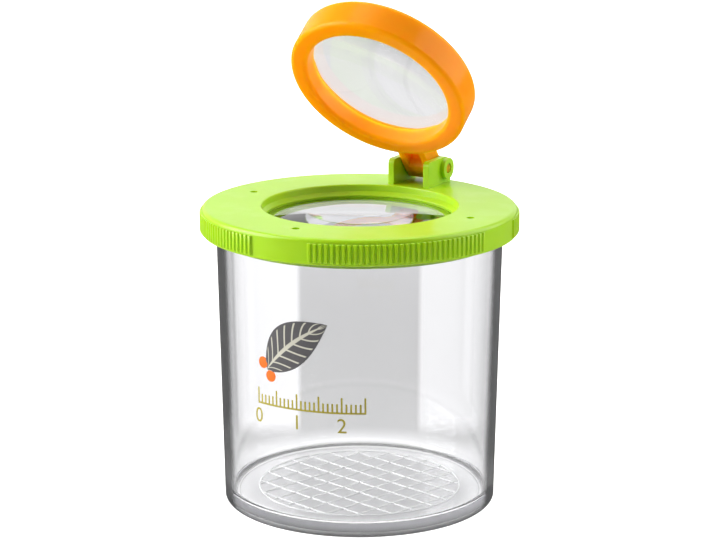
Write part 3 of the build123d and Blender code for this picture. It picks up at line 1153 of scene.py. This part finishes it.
def add_floor(stage):
    """White floor, a hair under the foot, that glows where it is seen; near the jar what shows of it through
    clear plastic and in gloss is painted dimmer, with a painted ring of light round the foot.
    """
    half = stage.floor_size / 2
    across, along = np.meshgrid([-half, half], [-half, half])
    corners = np.stack([across, along, np.full_like(across, -GUARD / 2)], axis=-1)
    nodes = new_material("white floor")
    camera, glossy, clear = nodes.rays()
    away = nodes.reach(nodes.here())
    far = nodes.ramp(away, *FAR)
    beyond = nodes.ramp(away, *BEYOND)
    # Painted light in a ring round the foot and painted dimming near the jar, for rays through clear plastic
    # and in gloss alone
    painted_foot_ring = nodes.ramp(away, *FOOT_STARTS) * nodes.ramp(away, *FOOT_ENDS, start=1, end=0)
    mirrored = glossy * (1 - clear)
    painted_dimming = 1 - (1 - stage.clear_floor * (1 - beyond)) * clear - (1 - stage.gloss_floor) * mirrored
    white = stage.floor_white * painted_dimming * (0.99 + 0.01 * nodes.noise(scale=30))
    lit = nodes.add("ShaderNodeBsdfDiffuse", sockets={"Color": white})
    seen = camera * (stage.floor_lift + stage.far_lift * far)
    through = clear * (stage.foot_light * painted_foot_ring + stage.clear_sky * beyond)
    glow = nodes.add("ShaderNodeEmission", sockets={"Strength": seen + through})
    material = nodes.surface(nodes.add("ShaderNodeAddShader", sockets={0: lit, 1: glow}))
    stage_sheet("floor", corners, material)


def add_card(stage, name, inner_edge, outer_edge, depth, light):
    """Upright card close behind the jar that glows but lights nothing: painted light that shows through
    clear plastic from its front alone.
    """
    across = np.sort([inner_edge, outer_edge])[:, None]
    up = np.array([0, JAR_CORNER.z])[:, None, None]
    right, away = view_axes(stage)
    corners = across * right + away * depth + up * np.array([0, 0, 1])
    nodes = new_material("light card")
    card_map = nodes.add("ShaderNodeUVMap", {"uv_map": "Card"})
    along, rise = nodes.part(card_map, "X"), nodes.part(card_map, "Y")
    behind = nodes.add("ShaderNodeNewGeometry", output="Backfacing")
    cover = nodes.ramp(along, *CARD_STARTS) * nodes.ramp(along, *CARD_ENDS, start=1, end=0)
    cover = cover * nodes.ramp(rise, *CARD_RISES) * (1 - behind)
    bright = nodes.add("ShaderNodeEmission", sockets={"Strength": light})
    open_air = nodes.add("ShaderNodeBsdfTransparent")
    material = nodes.surface(nodes.mixed(cover, open_air, bright))
    card = stage_sheet(name, corners, material)
    near, far = (0, 1) if inner_edge < outer_edge else (1, 0)
    card.data.uv_layers.new(name="Card").data.foreach_set("uv", [near, 0, far, 0, far, 1, near, 1])
    card.visible_camera = card.visible_diffuse = card.visible_glossy = card.visible_shadow = False


def add_sky(scene, stage):
    """Dim light from all round, white where it is seen, and in gloss white low behind the jar alone."""
    scene.world = bpy.data.worlds.new("white room")
    nodes = Nodes(scene.world)
    camera, glossy, clear = nodes.rays()
    way = nodes.add("ShaderNodeTexCoord", output="Generated")
    behind = (-sin(stage.azimuth), cos(stage.azimuth), SKY_DIP)
    dot = {"operation": "DOT_PRODUCT"}
    back = nodes.ramp(nodes.add("ShaderNodeVectorMath", dot, {0: way, 1: behind}, output="Value"), *SKY_BACK)
    seen = camera + clear * stage.clear_sky + glossy * (1 - clear) * back
    strength = stage.sky + seen * (1 - stage.sky)
    light = nodes.add("ShaderNodeBackground", sockets={"Color": (1, 1, 1, 1), "Strength": strength})
    nodes.add("ShaderNodeOutputWorld", sockets={"Surface": light})


def add_lamp(stage, name, bearing, distance, height, size, power):
    """Area lamp at a bearing from the camera's side of the jar, facing the jar."""
    lamp = bpy.data.lights.new(name, "AREA")
    lamp.shape = "RECTANGLE"
    lamp.size, lamp.size_y = size
    lamp.energy = power
    holder = bpy.data.objects.new(name, lamp)
    angle = stage.azimuth + radians(bearing)
    holder.location = (distance * sin(angle), -distance * cos(angle), height)
    holder.rotation_euler = (atan2(distance, height - JAR_CORNER.z / 2), 0, angle)
    bpy.context.scene.collection.objects.link(holder)


def add_camera(scene, stage):
    """Camera at the photograph's viewing angle."""
    data = bpy.data.cameras.new("camera")
    data.lens = stage.focal
    data.sensor_fit = "HORIZONTAL"
    camera = bpy.data.objects.new("camera", data)
    right, away = view_axes(stage)
    camera.location = np.array([0, 0, stage.height]) - away * stage.distance - right * stage.aside
    camera.rotation_euler = (pi / 2 - stage.pitch, 0, stage.azimuth)
    scene.collection.objects.link(camera)
    scene.camera = camera
    scene.view_settings.view_transform = "Standard"


# Operators: one for each piece or group of like pieces, and one for the stage


class BUGJAR_OT_jar(bpy.types.Operator):
    """Make the clear jar with its measuring grid"""

    bl_idname = "bugjar.jar"
    bl_label = "Jar"

    def execute(self, context):
        jar = context.scene.bug_jar.jar
        clear = jar_plastic("clear jar plastic", jar)
        beaker = [(turned(jar_profile(jar)), *TUBE)]
        let_light_through(build("jar_body", beaker, "jar", clear, "clear_body", ["jar"]))
        lines = [*grid_bars(jar), (grid_ring(jar), *RING)]
        build("floor_grid", lines, "jar", frosted_plastic("frosted grid", jar.grid_tint), "clear_body")
        return {"FINISHED"}


class BUGJAR_OT_lid(bpy.types.Operator):
    """Make the green lid with its ribbed rim, vents and hinge ears"""

    bl_idname = "bugjar.lid"
    bl_label = "Lid"

    def execute(self, context):
        settings = context.scene.bug_jar
        lid, jar = settings.lid, settings.jar
        green = moulded_plastic("green plastic", lid.green, gloss=0.35, skin=0.25, glow=0.35, depth=0.0015)
        finish = ("lid", green, "green_plastic")
        shell = [(turned(lid_profile(lid, jar, settings.lens)), *RING)]
        shell = build("lid_body", shell, *finish, ["lid"])
        drill(shell, grid_mesh("vents", vent_drills(lid, jar)))
        build("rim_ribs", rib_panels(lid, jar), *finish)
        soften(build("hinge_ears", ear_rings(lid), *finish), lid.edge_bevel)
        return {"FINISHED"}


class BUGJAR_OT_lenses(bpy.types.Operator):
    """Make the fixed lens in the lid and the lens of the flip frame"""

    bl_idname = "bugjar.lenses"
    bl_label = "Lenses"

    def execute(self, context):
        settings = context.scene.bug_jar
        jar, lid, flip, lens = settings.jar, settings.lid, settings.flip, settings.lens
        finish = (lens_plastic("lens plastic", lens), "clear_lens")
        bore = lid.well_radius - lid.lens_step
        lift = jar.height + lid.plate - lid.lens_depth - lens.flange / 2
        fixed = lens_profile(lens, bore - lens.gap, bore - lid.seat_width - lens.inset, lens.lid_rise)
        fixed = turned(fixed) + np.array([0, 0, lift])
        let_light_through(build("lid_lens_body", [(fixed, *TUBE)], "lid", *finish, ["lid_lens"]))
        bore = flip.ring_radius - flip.ring_wall
        lift = flip.shelf_lift - flip.ring_height / 2 + lens.flange / 2 - flip.ring_drop
        swung = lens_profile(lens, bore + flip.shelf - lens.gap, bore - lens.inset, lens.flip_rise)
        swung = in_flip_place(turned(swung) + np.array([0, -HINGE_PLACE[1], lift]))
        swung = [(swung, *TUBE)]
        let_light_through(build("flip_lens_body", swung, "flip_magnifier", *finish, ["flip_lens"]))
        return {"FINISHED"}


class BUGJAR_OT_flip_frame(bpy.types.Operator):
    """Make the orange flip frame: ring, arm, knuckle with its heel, and the hinge pin"""

    bl_idname = "bugjar.flip_frame"
    bl_label = "Flip frame"

    def execute(self, context):
        settings = context.scene.bug_jar
        flip = settings.flip
        orange = moulded_plastic("orange plastic", flip.orange, gloss=0.08, skin=0.12, glow=0.9, depth=0.008)
        finish = ("flip_magnifier", orange, "orange_plastic")
        ring = turned(ring_profile(flip, settings.lens)) + np.array([0, -HINGE_PLACE[1], -flip.ring_drop])
        build("flip_ring", [(in_flip_place(ring), *RING)], *finish, ["flip_frame"])
        build("flip_arm", [(in_flip_place(arm_sections(flip)), *TUBE)], *finish)
        half = flip.knuckle_half
        rings = [(-half, flip.pin_radius), (-half, None), (half, None), (half, flip.pin_radius)]
        knuckle = in_flip_place(plate_rings(knuckle_outline(flip), rings))
        soften(build("flip_knuckle", [(knuckle, *RING)], *finish), flip.edge_bevel)
        build("hinge_pin_body", [(in_flip_place(pin_surface(flip)), *TUBE)], *finish, ["hinge_pin"])
        return {"FINISHED"}


class BUGJAR_OT_print(bpy.types.Operator):
    """Print a leaf with berries and a small ruler on the jar's front"""

    bl_idname = "bugjar.print"
    bl_label = "Print"

    def execute(self, context):
        settings = context.scene.bug_jar
        art, jar = settings.art, settings.jar
        place("leaf_print", leaf_mesh(art, jar), "jar", leaf_ink("leaf ink", art.grey, art.pale))
        base = np.array([-cos(art.leaf_tilt), -sin(art.leaf_tilt)]) * art.leaf_length / 2
        side = np.array([-sin(art.leaf_tilt), cos(art.leaf_tilt)]) * art.berry_radius * BERRY_SPREAD
        berries = [berry_film(art, jar, *middle) for middle in (base + side, base - side)]
        build("berry_print", berries, "jar", ink("berry ink", art.orange))
        olive = ink("ruler ink", art.olive)
        build("ruler_print", ruler_films(art, jar), "jar", olive)
        for figure in range(FIGURES):
            across = figure * CENTIMETRE - art.ruler_length / 2
            mesh = figure_mesh(str(figure), art, jar, across, -art.digit)
            place(f"ruler_figure_{figure}", mesh, "jar", olive)
        return {"FINISHED"}


class BUGJAR_OT_stage(bpy.types.Operator):
    """Set up the floor, the light and the camera"""

    bl_idname = "bugjar.stage"
    bl_label = "Stage"

    def execute(self, context):
        stage = context.scene.bug_jar.stage
        add_floor(stage)
        add_sky(context.scene, stage)
        for lamp in LAMPS:
            add_lamp(stage, **lamp)
        # Painted light: bright cards and a dim flag, seen only through clear plastic
        inner, outer, depth = stage.card_inner, stage.card_outer, stage.card_depth
        add_card(stage, "left card", -inner, -outer, depth, stage.left_light)
        add_card(stage, "right card", inner, outer, depth, stage.right_light)
        inner, outer, depth = stage.flag_inner, stage.flag_outer, stage.flag_depth
        add_card(stage, "left flag", -inner, -outer, depth, stage.flag_light)
        add_camera(context.scene, stage)
        return {"FINISHED"}


class BUGJAR_PT_panel(bpy.types.Panel):
    """Buttons for the jar's pieces and stage"""

    bl_label = "Bug Jar"
    bl_idname = "BUGJAR_PT_panel"
    bl_space_type = "VIEW_3D"
    bl_region_type = "UI"
    bl_category = "Bug Jar"

    def draw(self, context):
        for operator in OPERATORS:
            self.layout.operator(operator.bl_idname)


GROUPS = (
    JarSettings, LidSettings, FlipSettings, LensSettings, PrintSettings, StageSettings, BugJarSettings,
)
OPERATORS = (
    BUGJAR_OT_jar, BUGJAR_OT_lid, BUGJAR_OT_lenses, BUGJAR_OT_flip_frame, BUGJAR_OT_print, BUGJAR_OT_stage,
)


def register():
    for item in (*GROUPS, *OPERATORS, BUGJAR_PT_panel):
        bpy.utils.register_class(item)
    bpy.types.Scene.bug_jar = PointerProperty(type=BugJarSettings)


def unregister():
    del bpy.types.Scene.bug_jar
    for item in reversed((*GROUPS, *OPERATORS, BUGJAR_PT_panel)):
        bpy.utils.unregister_class(item)


def main():
    """Build every piece and the stage."""
    register()
    bpy.ops.bugjar.jar()
    bpy.ops.bugjar.lid()
    bpy.ops.bugjar.lenses()
    bpy.ops.bugjar.flip_frame()
    bpy.ops.bugjar.print()
    bpy.ops.bugjar.stage()


if __name__ == "__main__":
    main()
